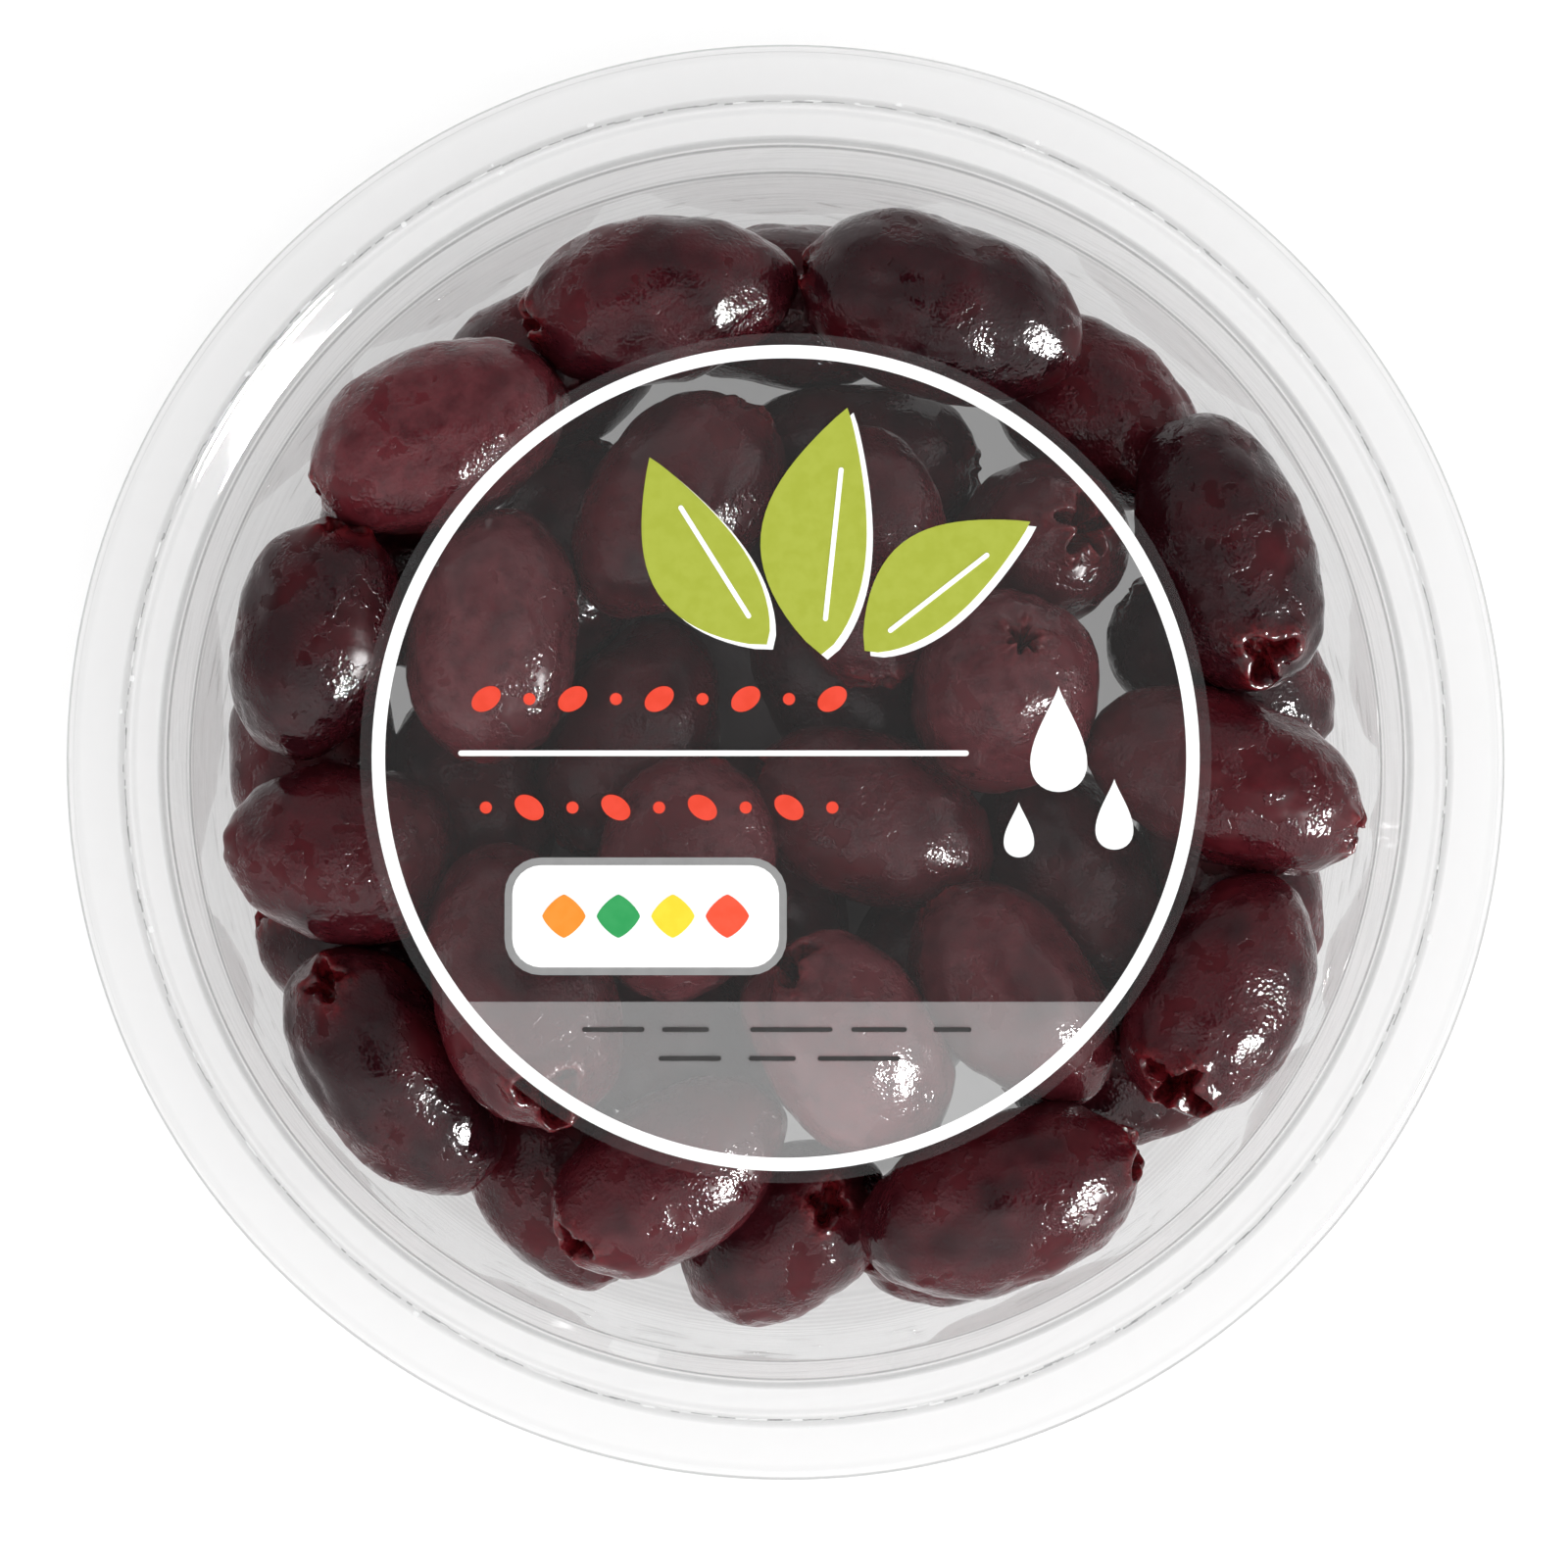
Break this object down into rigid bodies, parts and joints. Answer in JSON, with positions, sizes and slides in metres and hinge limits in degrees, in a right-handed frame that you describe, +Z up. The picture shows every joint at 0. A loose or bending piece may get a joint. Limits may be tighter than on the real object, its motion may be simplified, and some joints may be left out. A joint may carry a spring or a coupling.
{
  "type": "tub of pitted olives",
  "caption": "Round clear plastic tub of dark pitted olives, shut by a clear sealed film with a round see-through label.",
  "frame": {"origin": "on the table, under the middle of the tub", "axes": "+Z up; the print's reading direction is +X and its top points along +Y"},
  "size_m": [0.13, 0.13, 0.0392],
  "materials": {
    "tub_plastic": "clear gloss",
    "film": "clear gloss",
    "label_print": "see-through dark print",
    "olive_skin": "wet gloss"
  },
  "bodies": {
    "root": {"tub": "tub_plastic", "film_lid": "film", "label": "label_print", "olives": "olive_skin"}
  },
  "joints": []
}
